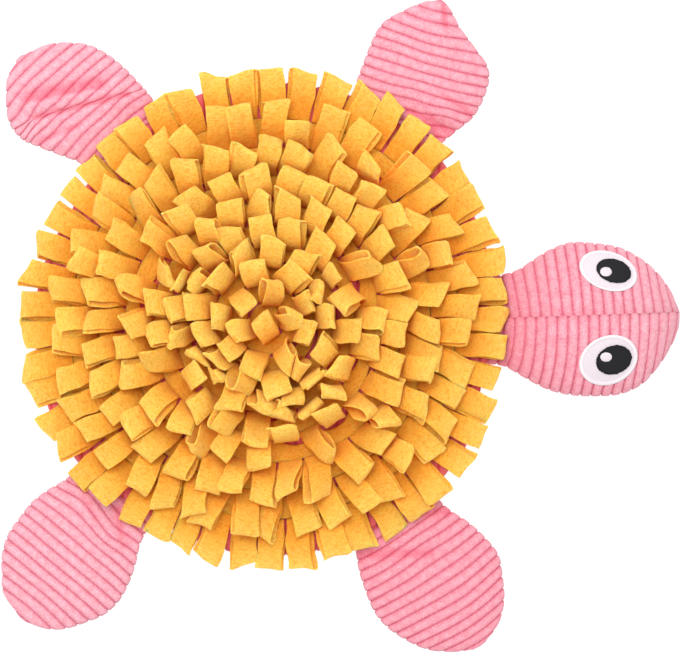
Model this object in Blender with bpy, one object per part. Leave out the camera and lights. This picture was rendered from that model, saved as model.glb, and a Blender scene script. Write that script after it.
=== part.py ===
"""A turtle-shaped snuffle mat, lying flat: a round corduroy base with four flipper legs and a
stuffed head, covered in rings of fleece loop fringe that hide dry food.

Metres, +Z up. The origin is the centre of the base's underside, the head points along +X, and
left is +Y. Ribs are the wales of a jumbo corduroy, raised in the faces themselves."""

import math
import random

import bmesh
import bpy
from mathutils import Vector
from mathutils.bvhtree import BVHTree

MM = 0.001

# Cloth and spacing
WALE = 8.4 * MM  # pitch of the corduroy's wales
GROOVE = 1.2 * MM  # how deep the grooves between two wales are
SCALLOP = 0.5 * MM  # how far a wale's end stands out past a groove's end
GAP = 0.3 * MM  # between two pieces
SHARP_FROM = math.radians(25)  # edges sharper than this aren't shaded smooth

# Base
BASE_RADIUS = 192 * MM
BASE_THICK = 7 * MM
BASE_SIDE_STATIONS = (0.985, 0.998)  # shares of its reach that finish the round at either side
# The sewn disc is a little out of round: mm added to its radius in each of these directions
OUT_OF_ROUND = (
    (0, -4), (25, 0), (55, 6), (90, 4), (120, -1), (148, -8), (175, -2),
    (215, 3), (243, -2), (272, 4), (305, 5), (326, 4), (345, -6), (360, -4),
)
OUTLINE_STEPS = 8  # rounds that settle where this outline crosses a wale

# Legs
LEG_THICK = 10 * MM
LEG_SEAM_HEIGHT = 3 * MM  # the sewn edge, straight up from the floor
LEG_ROOT_THICK = 6.5 * MM
LEG_FULL_FROM_ROOT = 40 * MM  # the pad is full this far from the base
LEG_FULL_FROM_TIP = 28 * MM
LEG_DOME = (2.6, 0.6)  # powers of the crown's curve: the first flattens it, the second rounds it
LEG_BOW_FROM = 4 * WALE  # a section at least this wide to either side bows in full
LEG_FOLD_FADE = 2 * MM  # folds run out where the crown is lower than this
LEG_ACROSS = (-1.0, -0.86, -0.5, 0.0, 0.5, 0.86, 1.0)  # points over a section, right to left
CUTTER_REACH = 100 * MM  # of the guide that cuts the roots, above and below the floor

# Each leg: where its axis leaves the base's rim and which way it points, in degrees, and how far
# the wales bow over its width, in mm. Sections have a row each, in mm: distance from the rim, reach
# to the left of the axis, reach to the right. Folds have a row each, in mm: from along and across
# to along and across, height, half width.
LEGS = {
    "leg_back_left": {
        "rim_angle": 131, "axis": 135, "bow": 2.0,
        "sections": (
            (-16, 30, 45), (8, 31, 50), (24, 38, 51), (40, 45, 51), (56, 51, 49),
            (72, 49, 43.5), (84, 41, 34), (94, 31, 23), (101, 22, 8), (103.5, 10, 0),
        ),
        "folds": ((30, -20, 46, 24, -2.2, 9), (62, -8, 76, -24, -1.6, 8)),
    },
    "leg_front_left": {
        "rim_angle": 56.5, "axis": 74, "bow": 1.5,
        "sections": (
            (-16, 39, 32), (8, 40, 50), (24, 40, 61), (40, 39, 65), (56, 37.5, 65.5),
            (68, 36, 61), (80, 31.5, 46.5), (92, 20, 31), (102, 8, 21.5), (108, -4, 14),
        ),
        "folds": ((104, -12, 62, -22, 2.4, 8), (4, -46, 20, -6, -2.6, 8)),
    },
    "leg_back_right": {
        "rim_angle": -130, "axis": -130, "bow": -2.5,
        "sections": (
            (-16, 34, 36), (16, 40, 42), (32, 48, 47.5), (48, 54, 51), (64, 57, 50.5),
            (80, 55, 49), (96, 47, 42.5), (110, 38, 31), (119, 28, 23), (125, 14, 4),
        ),
        "folds": ((12, -30, 40, 20, 1.8, 9),),
    },
    "leg_front_right": {
        "rim_angle": -55.4, "axis": -57, "bow": 3.0,
        "sections": (
            (-16, 32, 40), (8, 33, 47), (24, 37, 54), (40, 44, 58.5), (60, 49, 62),
            (76, 50, 60), (92, 43.5, 53.5), (108, 35, 43.5), (120, 24, 29.5), (129, 4, 12),
        ),
        "folds": ((20, -40, 50, 10, -1.5, 10),),
    },
}

# Head: a row for each section along +X, in mm.
# Columns: distance from the base's rim, reach to the left, reach to the right, thickness.
HEAD_SECTIONS = (
    (-14, 34, 37, 8), (4, 37, 39, 9), (16, 41, 45.5, 21), (28, 49, 52.5, 31), (42, 57.5, 59, 39),
    (58, 63, 62.5, 44), (76, 62.5, 63.5, 46), (98, 59, 62, 44), (116, 50, 54.5, 38),
    (130, 38.5, 40.5, 29), (140, 26, 26, 20), (147.5, 10, 10, 9),
)
HEAD_SEAM = (0.8 * MM, 5.8 * MM)  # the centre seam's place across, at the neck and at the nose
HEAD_SEAM_DIP = 2.2 * MM  # the stitching pulls the crown in along the seam
HEAD_SEAM_SPREAD = 0.12  # share of a half's width that is pulled in
HEAD_SEAM_FADE = 8 * MM  # the dip runs out where the crown is lower than this
HEAD_SIDE = 0.46  # share of the thickness at which the head is widest
HEAD_DOME = (2.3, 0.5)  # powers of the crown's curve, as for the legs
HEAD_FLAT = 0.55  # share of the underside that lies on the floor
HEAD_CURL = 1.6  # power by which the underside rises past that
HEAD_TOP_ACROSS = (1.0, 0.93, 0.72, 0.42, 0.16, 0.0)  # points over a half's top, side to seam
HEAD_BOTTOM_ACROSS = (0.0, HEAD_FLAT, 0.88)  # and under it, seam to side
HEAD_WALE_SHIFT = {"head_left": 0.0, "head_right": 0.5}  # of the wales, in wales

# Eyes: a row each. Columns: centre X and Y, half length, half width, tilt in degrees, all in mm.
EYES = {
    "left": {"patch": (279.4, 39, 24.4, 16, -17), "pupil": (283.6, 39.1, 14.6, 9.7, -14),
             "glint": (277, 38.2, 4.8, 3.8, 0)},
    "right": {"patch": (279.4, -33.6, 24.7, 19.9, 22), "pupil": (283.6, -33.3, 15, 11.7, 18),
              "glint": (277, -31, 4.8, 3.8, 0)},
}
EYE_LAYERS = {"patch": (20, 3), "pupil": (16, 2), "glint": (10, 1)}  # sides, rings of faces
EYE_THICK = 0.8 * MM
EYE_LIFT = 0.55 * MM  # of each layer above what it is sewn to

# Fringe: a folded fleece band, sewn down along its heading and cut into loops
FLEECE = 2.0 * MM
HEADING_WIDTH = 10 * MM
LOOP_LENGTH = 42 * MM
LOOP_WIDTH = 20 * MM
LOOP_FLARE = 0.1  # share by which cut fleece spreads wider from a loop's root to its fold
SLIT = 0.6 * MM  # least gap between the roots of two loops
CHORD_SPARE = 0.985  # and the share of the pitch that roots keep to where the ring narrows
# Half of a loop's thickness at shares of its length: root, neck, belly and fold
LOOP_PROFILE = ((0.0, 2.0 * MM), (0.34, 2.1 * MM), (0.72, 3.9 * MM), (1.0, 2.7 * MM))
LOOP_HOLE = ((0.42, 0.0), (0.945, -1.5 * MM), (0.945, 1.5 * MM))  # the opening inside the fold
# Faces of a loop's side, by its corners: 0 to 7 round the outline, from the root's underside to
# its top, and 8 to 10 round the opening
LOOP_SIDE_FACES = (
    (0, 1, 6, 7), (1, 8, 6), (1, 2, 8), (2, 9, 8), (2, 3, 9), (3, 4, 10, 9), (4, 5, 10),
    (5, 8, 10), (5, 6, 8),
)
LOOP_STEPS = 12  # steps along a loop's middle line
BEND_FROM = 0.15  # a loop bends over between these shares of its length
BEND_TO = 0.8
SWING_BY = 0.4  # share of its length by which a loop has turned sideways
LOOP_FREE_FROM = 0.1  # share of its length past which a loop has to lie clear of the rest
LOOP_CLEAR = 0.2 * MM  # kept free round each loop
LOOP_NEAR = 3 * LOOP_LENGTH  # roots further apart than this can't meet
ROOT_CLEAR = 0.25 * MM  # least thickness of a stem level with the top of its heading

# One row a ring, rim first. Angles in degrees: lean is the lowest rise of its loops, perk how
# much further some stand up, droop how far a loop bends over along its length, swing how far it
# turns sideways, and twist how far it turns about its own length. Inward is the share of loops
# that curl back over the middle of the mat, narrow the least share of the full loop width, and
# full how much fatter its loops are than the profile.
RING_COLUMNS = (
    "radius", "loops", "lean", "perk", "droop", "swing", "twist", "inward", "narrow", "full",
)
RINGS = (
    (161.5 * MM, 49, 6, 6, 9, 7, 6, 0.0, 0.94, 1.0),
    (138.5 * MM, 43, 12, 14, 34, 18, 18, 0.0, 0.92, 1.0),
    (116.0 * MM, 36, 18, 20, 46, 28, 26, 0.0, 0.9, 1.0),
    (94.5 * MM, 29, 24, 22, 56, 34, 28, 0.1, 0.9, 1.0),
    (76.0 * MM, 23, 32, 20, 64, 40, 28, 0.1, 0.88, 1.0),
    (59.0 * MM, 18, 40, 18, 72, 46, 28, 0.15, 0.86, 1.0),
    (43.5 * MM, 13, 48, 16, 76, 50, 28, 0.25, 0.84, 1.0),
    (28.5 * MM, 9, 56, 14, 80, 56, 28, 0.3, 0.84, 1.0),
    (12.5 * MM, 5, 64, 12, 84, 60, 26, 0.4, 0.82, 1.0),
)
INWARD_LEAN = 74.0  # least rise of a loop that curls inward
LEAN_STEP = 3.0  # degrees that a loop is raised by until it lies clear
LEAN_MOST = 104.0
CALMER = (1.0, 0.75, 0.5, 0.25, 0.0)  # shares of its swing and twist that a loop tries in turn
# and then of its droop, length and width, where it stands crumpled or rolled up among others
STIFFER = (
    (1.0, 1.0, 1.0), (0.7, 1.0, 1.0), (0.4, 0.94, 1.0), (0.2, 0.88, 1.0), (0.1, 0.78, 1.0),
    (0.4, 0.94, 0.7), (0.2, 0.88, 0.6), (0.1, 0.8, 0.5),
)
SEED = 63  # a layout that finds room for all but three of the loops


def cloth(name, colour, roughness):
    """A plain fabric material. The colour is linear."""
    material = bpy.data.materials.new(name)
    material.use_nodes = True
    shader = material.node_tree.nodes["Principled BSDF"]
    shader.inputs["Base Color"].default_value = (*colour, 1.0)
    shader.inputs["Roughness"].default_value = roughness
    shader.inputs["Metallic"].default_value = 0.0
    return material


def add_object(name, builder, material):
    """Closes the bmesh into a named object, with its faces pointing out."""
    bmesh.ops.recalc_face_normals(builder, faces=builder.faces)
    mesh = bpy.data.meshes.new(name)
    builder.to_mesh(mesh)
    builder.free()
    mesh.materials.append(material)
    mesh.shade_smooth()
    mesh.set_sharp_from_angle(angle=SHARP_FROM)
    made = bpy.data.objects.new(name, mesh)
    bpy.context.collection.objects.link(made)
    return made


def loft(name, sections, material):
    """A solid through closed sections, each with the same number of points, capped at both ends."""
    builder = bmesh.new()
    loops = [[builder.verts.new(point) for point in section] for section in sections]
    for near, far in zip(loops, loops[1:]):
        for i, corner in enumerate(near):
            builder.faces.new((near[i - 1], corner, far[i], far[i - 1]))
    builder.faces.new(loops[0])
    builder.faces.new(loops[-1])
    return add_object(name, builder, material)


def smooth(share):
    """A soft step from 0 to 1."""
    share = min(max(share, 0.0), 1.0)
    return share * share * (3 - 2 * share)


def uneven(radius, angle):
    """A radius of the mat in this direction, in radians, as far out of round as the disc is."""
    degrees = math.degrees(angle) % 360
    added = 0.0
    for (low, before), (high, after) in zip(OUT_OF_ROUND, OUT_OF_ROUND[1:]):
        if low <= degrees <= high:
            added = before + (after - before) * smooth((degrees - low) / (high - low))
    return radius * (1 + added * MM / BASE_RADIUS)


def base_half_width(x, side):
    """How far the base reaches along Y at this X, on the left (side 1) or the right (-1)."""
    y = math.sqrt(max(BASE_RADIUS**2 - x**2, 0.0))
    for _ in range(OUTLINE_STEPS):
        radius = uneven(BASE_RADIUS, math.atan2(side * y, x))
        y = math.sqrt(max(radius**2 - x**2, MM**2))
    return y


def table_value(rows, column, distance):
    """A column of a table of sections at this distance, read between its rows.

    Squares are read in place of the values themselves, so that a tip comes out round."""
    distance = min(max(distance, rows[0][0]), rows[-1][0])
    for low, high in zip(rows, rows[1:]):
        if distance <= high[0]:
            share = (distance - low[0]) / (high[0] - low[0])
            a = low[column] * abs(low[column])
            b = high[column] * abs(high[column])
            square = a + (b - a) * share
            return math.copysign(math.sqrt(abs(square)), square)
    return rows[-1][column]


def wale_stations(first, last, shift=0.0):
    """Places of crests and grooves from first to last, each with its groove share, 0 or 1.

    Shift moves them all on by this many wales."""
    half = WALE / 2
    count = math.floor((last - first) / half)
    return [(first + (i + 2 * shift) * half, (i + 1) % 2) for i in range(count + 1)]


def make_base(material):
    back = uneven(BASE_RADIUS, math.pi)
    front = uneven(BASE_RADIUS, 0.0)
    half = WALE / 2
    first = -math.floor(BASE_SIDE_STATIONS[0] * back / half) * half + half
    last = math.floor(BASE_SIDE_STATIONS[0] * front / half) * half - half
    stations = [(-share * back, 0) for share in reversed(BASE_SIDE_STATIONS)]
    stations += wale_stations(first, last)
    stations += [(share * front, 0) for share in BASE_SIDE_STATIONS]
    sections = []
    for x, groove in stations:
        left = base_half_width(x, 1)
        right = -base_half_width(x, -1)
        top = BASE_THICK - GROOVE * groove
        sections.append(((x, right, 0), (x, left, 0), (x, left, top), (x, right, top)))
    return loft("base", sections, material)


def fold_height(folds, along, across):
    """Height of the soft ridges and troughs at a place on a leg, all in mm."""
    height = 0.0
    for a0, c0, a1, c1, rise, half_width in folds:
        run = Vector((a1 - a0, c1 - c0))
        place = Vector((along - a0, across - c0))
        share = min(max(place.dot(run) / run.length_squared, 0.0), 1.0)
        away = (place - share * run).length
        height += rise * math.exp(-((away / half_width) ** 2))
    return height


def leg_section(leg, distance, groove):
    """The points of one section of a leg, in world space."""
    rows = leg["sections"]
    along = distance / MM
    left = table_value(rows, 1, along) * MM - SCALLOP * groove
    right = table_value(rows, 2, along) * MM - SCALLOP * groove
    rim = math.radians(leg["rim_angle"])
    axis = math.radians(leg["axis"])
    root = Vector((math.cos(rim), math.sin(rim), 0)) * BASE_RADIUS
    ahead = Vector((math.cos(axis), math.sin(axis), 0))
    aside = Vector((-math.sin(axis), math.cos(axis), 0))
    from_root = min(max(distance / LEG_FULL_FROM_ROOT, 0.0), 1.0)
    from_tip = min(max((rows[-1][0] * MM - distance) / LEG_FULL_FROM_TIP, 0.0), 1.0)
    full = LEG_ROOT_THICK + (LEG_THICK - LEG_ROOT_THICK) * from_root
    crown = (full - LEG_SEAM_HEIGHT) * math.sqrt(from_tip)
    middle = (left - right) / 2
    half = max((left + right) / 2, WALE / 4)
    flatten, rounding = LEG_DOME
    points = []
    for share in LEG_ACROSS:
        bow = leg["bow"] * MM * (1 - share**2) * min(half / LEG_BOW_FROM, 1.0)
        place = root + ahead * (distance + bow) + aside * (middle + half * share)
        dome = crown * (1 - abs(share) ** flatten) ** rounding
        rib = GROOVE * groove * min(dome / GROOVE, 1.0)
        crease = fold_height(leg["folds"], along, (middle + half * share) / MM) * MM
        place.z = LEG_SEAM_HEIGHT + max(dome - rib + crease * min(dome / LEG_FOLD_FADE, 1.0), 0.0)
        points.append(place)
    floor = [Vector((p.x, p.y, 0)) for p in (points[-1], points[0])]
    return floor + points


def make_rim_cutter():
    """A guide that cuts the roots of legs and head to the base's outline."""
    builder = bmesh.new()
    made = bmesh.ops.create_circle(builder, cap_ends=True, segments=180, radius=BASE_RADIUS)
    for corner in made["verts"]:
        angle = math.atan2(corner.co.y, corner.co.x)
        radius = uneven(BASE_RADIUS, angle) + GAP
        corner.co = (radius * math.cos(angle), radius * math.sin(angle), -CUTTER_REACH)
    grown = bmesh.ops.extrude_face_region(builder, geom=builder.faces[:])
    top = [item for item in grown["geom"] if isinstance(item, bmesh.types.BMVert)]
    bmesh.ops.translate(builder, verts=top, vec=(0, 0, 2 * CUTTER_REACH))
    bmesh.ops.recalc_face_normals(builder, faces=builder.faces)
    mesh = bpy.data.meshes.new("rim_cutter")
    builder.to_mesh(mesh)
    builder.free()
    cutter = bpy.data.objects.new("rim_cutter", mesh)
    bpy.context.collection.objects.link(cutter)
    cutter.hide_render = True
    cutter.display_type = "WIRE"
    return cutter


def cut_root(piece, cutter):
    cut = piece.modifiers.new("root", "BOOLEAN")
    cut.operation = "DIFFERENCE"
    cut.object = cutter


def make_leg(name, leg, material, cutter):
    rows = leg["sections"]
    stations = wale_stations(rows[0][0] * MM, rows[-1][0] * MM)
    made = loft(name, [leg_section(leg, *station) for station in stations], material)
    cut_root(made, cutter)
    return made


def seam_at(distance):
    share = distance / (HEAD_SECTIONS[-1][0] * MM)
    return HEAD_SEAM[0] + (HEAD_SEAM[1] - HEAD_SEAM[0]) * share


def head_height(distance, share, groove):
    """Height of the head's top, at a share of the way from the seam (0) to the side (1)."""
    thick = table_value(HEAD_SECTIONS, 3, distance / MM) * MM
    side = HEAD_SIDE * thick
    flatten, rounding = HEAD_DOME
    dome = (thick - side) * (1 - share**flatten) ** rounding
    pulled = math.exp(-((share / HEAD_SEAM_SPREAD) ** 2))
    dip = HEAD_SEAM_DIP * pulled * min(dome / HEAD_SEAM_FADE, 1.0)
    return side + max(dome - dip - GROOVE * groove * min(dome / GROOVE, 1.0), 0.0)


def head_section(side, column, distance, groove):
    """One section of a half of the head: along its underside from the seam, and back on top."""
    seam = seam_at(distance) + side * GAP / 2
    reach = table_value(HEAD_SECTIONS, column, distance / MM) * MM - SCALLOP * groove
    width = reach * side - seam
    x = BASE_RADIUS + distance
    thick = table_value(HEAD_SECTIONS, 3, distance / MM) * MM
    points = []
    for share in HEAD_BOTTOM_ACROSS:
        rise = HEAD_SIDE * thick * max(share - HEAD_FLAT, 0.0) ** HEAD_CURL
        points.append((x, seam + width * share, rise))
    for share in HEAD_TOP_ACROSS:
        points.append((x, seam + width * share, head_height(distance, share, groove)))
    return points


def make_head_half(name, material, cutter):
    side = 1 if name == "head_left" else -1
    column = 1 if side > 0 else 2
    first = HEAD_SECTIONS[0][0] * MM
    last = HEAD_SECTIONS[-1][0] * MM
    stations = wale_stations(first, last - WALE / 2, HEAD_WALE_SHIFT[name])
    stations.append((last, 1))
    made = loft(name, [head_section(side, column, *station) for station in stations], material)
    cut_root(made, cutter)
    return made


def head_top_at(x, y):
    """Height of the wales' crests on the head above this place."""
    distance = x - BASE_RADIUS
    seam = seam_at(distance)
    column = 1 if y > seam else 2
    reach = table_value(HEAD_SECTIONS, column, distance / MM) * MM
    share = abs(y - seam) / abs(math.copysign(reach, y) - seam)
    return head_height(distance, min(share, 1.0), 0)


def make_eye_layer(name, row, layer, lift, material):
    """A thin oval that follows the head's crown, this far above it."""
    x0, y0, half_long, half_wide, tilt = row
    sides, rings = EYE_LAYERS[layer]
    turn = math.radians(tilt)
    builder = bmesh.new()
    skins = []
    for level in (lift, lift + EYE_THICK):
        skin = [[builder.verts.new((x0 * MM, y0 * MM, head_top_at(x0 * MM, y0 * MM) + level))]]
        for ring in range(1, rings + 1):
            loop = []
            for i in range(sides):
                angle = math.tau * i / sides
                a = half_long * MM * math.cos(angle) * ring / rings
                b = half_wide * MM * math.sin(angle) * ring / rings
                x = x0 * MM + a * math.cos(turn) - b * math.sin(turn)
                y = y0 * MM + a * math.sin(turn) + b * math.cos(turn)
                loop.append(builder.verts.new((x, y, head_top_at(x, y) + level)))
            skin.append(loop)
        for i in range(sides):
            builder.faces.new((skin[0][0], skin[1][i - 1], skin[1][i]))
            for inner, outer in zip(skin[1:], skin[2:]):
                builder.faces.new((inner[i - 1], outer[i - 1], outer[i], inner[i]))
        skins.append(skin[-1])
    for i in range(sides):
        builder.faces.new((skins[0][i - 1], skins[0][i], skins[1][i], skins[1][i - 1]))
    return add_object(name, builder, material)


def loop_shape(azimuth, radius, rise, droop, swing, twist, length, width, full):
    """What one loop needs to be built. Angles in radians, and azimuth is its place in the ring."""
    return {
        "azimuth": azimuth, "radius": radius, "rise": rise, "droop": droop,
        "swing": swing, "twist": twist, "length": length, "width": width, "full": full,
    }


def loop_frames(loop):
    """Middle, side direction and upward direction along a loop, at each of its steps."""
    z = BASE_THICK + GAP + FLEECE
    out = Vector((math.cos(loop["azimuth"]), math.sin(loop["azimuth"]), 0))
    middle = out * loop["radius"] + Vector((0, 0, z))
    frames = [(middle.copy(), Vector((-out.y, out.x, 0)), Vector((0, 0, 1)))]
    for step in range(LOOP_STEPS):
        share = (step + 0.5) / LOOP_STEPS
        rise = loop["rise"] - loop["droop"] * smooth((share - BEND_FROM) / (BEND_TO - BEND_FROM))
        heading = loop["azimuth"] + loop["swing"] * min(share / SWING_BY, 1.0)
        level = Vector((math.cos(heading), math.sin(heading), 0))
        ahead = level * math.cos(rise) + Vector((0, 0, math.sin(rise)))
        middle = middle + ahead * (loop["length"] / LOOP_STEPS)
        side = Vector((-level.y, level.x, 0))
        up = ahead.cross(side)
        turn = loop["twist"] * (step + 1) / LOOP_STEPS
        turned_side = side * math.cos(turn) + up * math.sin(turn)
        frames.append((middle.copy(), turned_side, ahead.cross(turned_side)))
    return frames


def loop_point(loop, frames, share, offset, side):
    """A point of a loop, at a share of its length, off its middle layer, on its left or right."""
    step = min(int(share * LOOP_STEPS), LOOP_STEPS - 1)
    blend = share * LOOP_STEPS - step
    near = frames[step]
    far = frames[step + 1]
    middle = near[0].lerp(far[0], blend)
    across = near[1].lerp(far[1], blend).normalized()
    up = near[2].lerp(far[2], blend).normalized()
    half = loop["width"] / 2 * (1 + LOOP_FLARE * share)
    return middle + across * (side * half) + up * offset


def loop_corners(loop, extra=0.0, start=0.0):
    """Points of a loop's outline, from the root's underside round the fold to its top, and of the
    opening inside the fold, for its left and right side."""
    frames = loop_frames(loop)
    wide = dict(loop, width=loop["width"] + 2 * extra)
    neck = LOOP_PROFILE[1][0]
    under = []
    for share, half in LOOP_PROFILE:
        fat = loop["full"] if share > neck else 1.0
        under.append((max(share, start), -half * fat - extra))
    over = [(share, -offset) for share, offset in reversed(under)]
    sides = []
    for side in (1, -1):
        outline = [loop_point(wide, frames, *place, side) for place in under + over]
        hole = [loop_point(loop, frames, *place, side) for place in LOOP_HOLE]
        sides.append((outline, hole))
    return sides


def shell_of(loop, start=0.0):
    """A closed shell a little outside a loop, from this share of its length on."""
    (left, _), (right, _) = loop_corners(loop, extra=LOOP_CLEAR, start=start)
    count = len(left)
    quads = [(i, (i + 1) % count, count + (i + 1) % count, count + i) for i in range(count)]
    for i in range(count // 2 - 1):
        side = (i, i + 1, count - 2 - i, count - 1 - i)
        quads += [side, tuple(count + k for k in side)]
    faces = []
    for a, b, c, d in quads:  # a twisted face may fold along either diagonal
        faces += [(a, b, c), (a, c, d), (a, b, d), (b, c, d)]
    return BVHTree.FromPolygons(left + right, faces)


def heading_tree(row):
    """The faces of a ring's heading, as a plain round band."""
    low = BASE_THICK
    top = low + 2 * FLEECE + 2 * GAP
    count = 2 * row["loops"]
    points = []
    for i in range(count):
        angle = math.tau * i / count
        outer = uneven(row["radius"], angle)
        inner = max(outer - HEADING_WIDTH, MM)
        for radius, z in ((inner, low), (outer, low), (outer, top), (inner, top)):
            points.append((radius * math.cos(angle), radius * math.sin(angle), z))
    faces = []
    for i in range(count):
        here = 4 * i
        there = 4 * ((i + 1) % count)
        faces += [(here + k, there + k, there + (k + 1) % 4, here + (k + 1) % 4) for k in range(4)]
    return BVHTree.FromPolygons(points, faces)


def solid_tree(made):
    """The faces of a piece as they lie in the world, to test the loops against."""
    bpy.context.view_layer.update()
    graph = bpy.context.evaluated_depsgraph_get()
    return BVHTree.FromObject(made, graph)


def loop_faces():
    """The faces of a loop, by the corners of its left side and then of its right."""
    faces = [(k, k + 1, k + 12, k + 11) for k in range(7)]
    faces += [(8 + (k - 1) % 3, 8 + k, 19 + k, 19 + (k - 1) % 3) for k in range(3)]
    faces += LOOP_SIDE_FACES
    faces += [tuple(corner + 11 for corner in face) for face in LOOP_SIDE_FACES]
    return faces


def loop_points(loop):
    """The corners of a loop's left side and then of its right."""
    return [point for outline, hole in loop_corners(loop) for point in outline + hole]


def leans_on_heading(loop):
    """Whether a loop stands so far back that its stem would cut into its own heading."""
    points = loop_points(loop)
    out = Vector((math.cos(loop["azimuth"]), math.sin(loop["azimuth"]), 0))
    stems = [points[neck] - points[root] for root, neck in ((0, 1), (11, 12))]
    return any(stem.dot(out) * 2 * FLEECE < ROOT_CLEAR * stem.z for stem in stems)


def crosses_itself(loop):
    """Whether a loop bends or twists so sharply that its faces cross each other."""
    faces = []
    for a, b, c, *last in loop_faces():
        faces.append((a, b, c))
        for d in last:
            faces += [(a, c, d), (a, b, d), (b, c, d)]
    tree = BVHTree.FromPolygons(loop_points(loop), faces)
    return any(not set(faces[i]) & set(faces[j]) for i, j in tree.overlap(tree))


def settle_loop(shape, row, wish, placed, fixed):
    """Turns and raises a loop until it lies clear of all that is already there."""
    near = [tree for middle, tree in placed if (middle - wish["middle"]).length < LOOP_NEAR]
    turns = [calm * way for calm in CALMER for way in (1, -1)]
    tries = [(wish["inward"], turn, 1.0, 1.0, 1.0) for turn in turns]
    tries += [(False, turn, *stiffer) for stiffer in STIFFER for turn in turns]
    for inward, turn, bend, short, narrow in tries:
        first = max(row["lean"] + wish["perk"] * row["perk"], INWARD_LEAN * inward)
        for step in range(math.ceil((LEAN_MOST - first) / LEAN_STEP)):
            lean = first + step * LEAN_STEP
            droop = min(row["droop"], lean) * (-1 if inward else bend)
            loop = loop_shape(
                azimuth=shape["azimuth"],
                radius=shape["radius"],
                rise=math.radians(lean),
                droop=math.radians(droop),
                swing=math.radians(wish["swing"] * row["swing"] * turn),
                twist=math.radians(wish["twist"] * row["twist"] * turn),
                length=shape["length"] * short,
                width=shape["width"] * narrow,
                full=row["full"],
            )
            if leans_on_heading(loop):
                continue
            probe = shell_of(loop, LOOP_FREE_FROM)
            if not any(probe.overlap(tree) for tree in near + fixed) and not crosses_itself(loop):
                return loop
    return None


def placing_order(count):
    """Every other loop of a ring first, and then those that push up between them."""
    return [*range(0, count, 2), *range(1, count, 2)]


def lay_out_loops(fixed):
    """All the loops, ring by ring from the rim, each lying on those outside it."""
    draw = random.Random(SEED)
    rows = [dict(zip(RING_COLUMNS, values)) for values in RINGS]
    fixed = fixed + [heading_tree(row) for row in rows]
    placed = []
    rings = []
    for number, row in enumerate(rows):
        pitch = math.tau / row["loops"]
        loops = []
        for i in placing_order(row["loops"]):
            azimuth = pitch * (i + 0.5 * number)
            radius = uneven(row["radius"], azimuth)
            widest = 2 * radius * math.tan(pitch / 2) * CHORD_SPARE - SLIT
            wish = {
                "middle": Vector((math.cos(azimuth), math.sin(azimuth), 0)) * radius,
                "perk": draw.random() ** 2,
                "swing": draw.uniform(-1, 1),
                "twist": draw.uniform(-1, 1),
                "inward": draw.random() < row["inward"],
            }
            shape = {
                "azimuth": azimuth,
                "radius": radius,
                "length": LOOP_LENGTH * draw.uniform(0.94, 1.04),
                "width": min(LOOP_WIDTH, widest) * draw.uniform(row["narrow"], 1.0),
            }
            loop = settle_loop(shape, row, wish, placed, fixed)
            if loop:
                loops.append(loop)
                placed.append((wish["middle"], shell_of(loop)))
        loops.sort(key=lambda loop: loop["azimuth"])
        rings.append((row, loops))
    return rings


def add_loop(builder, loop):
    """Builds one loop, open at its root, and gives the four corners of the root."""
    corners = [builder.verts.new(point) for point in loop_points(loop)]
    for face in loop_faces():
        builder.faces.new([corners[i] for i in face])
    return corners[0], corners[7], corners[11], corners[18]


def make_fringe(name, row, loops, material):
    """A ring of loops on its heading, the band that is sewn down."""
    builder = bmesh.new()
    low = BASE_THICK + GAP
    top = low + 2 * FLEECE
    has_hole = row["radius"] > HEADING_WIDTH + MM
    roots = [add_loop(builder, loop) for loop in loops]
    if has_hole:
        inner = []
        for loop in loops:
            inner_radius = loop["radius"] - HEADING_WIDTH
            x = inner_radius * math.cos(loop["azimuth"])
            y = inner_radius * math.sin(loop["azimuth"])
            inner.append((builder.verts.new((x, y, low)), builder.verts.new((x, y, top))))
    for i, (left_low, left_top, right_low, right_top) in enumerate(roots):
        last_low, last_top = roots[i - 1][:2]
        builder.faces.new((last_low, right_low, right_top, last_top))
        if has_hole:
            inner_low, inner_top = inner[i]
            before_low, before_top = inner[i - 1]
            builder.faces.new((inner_low, left_low, right_low))
            builder.faces.new((inner_top, right_top, left_top))
            builder.faces.new((before_low, inner_low, right_low, last_low))
            builder.faces.new((before_top, last_top, right_top, inner_top))
            builder.faces.new((before_low, before_top, inner_top, inner_low))
    if not has_hole:
        for level in (0, 1):
            rim = [corner for root in roots for corner in (root[2 + level], root[level])]
            builder.faces.new(rim)
    return add_object(name, builder, material)


def build():
    for old in list(bpy.data.objects):
        bpy.data.objects.remove(old, do_unlink=True)
    corduroy = cloth("corduroy_pink", (1.0, 0.337, 0.434), 0.9)
    fleece = cloth("fleece_yellow", (0.939, 0.527, 0.078), 0.95)
    white = cloth("eye_white", (0.93, 0.87, 0.9), 0.7)
    black = cloth("eye_black", (0.02, 0.018, 0.022), 0.6)

    cutter = make_rim_cutter()
    under = [make_base(corduroy)]
    under += [make_leg(name, leg, corduroy, cutter) for name, leg in LEGS.items()]
    under += [make_head_half(name, corduroy, cutter) for name in HEAD_WALE_SHIFT]
    for side, rows in EYES.items():
        lift = EYE_LIFT
        for layer, material in (("patch", white), ("pupil", black), ("glint", white)):
            name = "eye" if layer == "patch" else layer
            make_eye_layer(f"{name}_{side}", rows[layer], layer, lift, material)
            lift += EYE_THICK + EYE_LIFT
    rings = lay_out_loops([solid_tree(made) for made in under])
    for number, (row, loops) in enumerate(rings, 1):
        make_fringe(f"fringe_{number}", row, loops, fleece)


build()
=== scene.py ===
"""A turtle-shaped snuffle mat: jumbo corduroy body, flippers and stuffed head, fleece loop fringe.

Metres, +Z up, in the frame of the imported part: the head points along +X, and left is +Y."""

import math
import random

import bmesh
import bpy
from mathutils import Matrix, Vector, kdtree, noise


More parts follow.
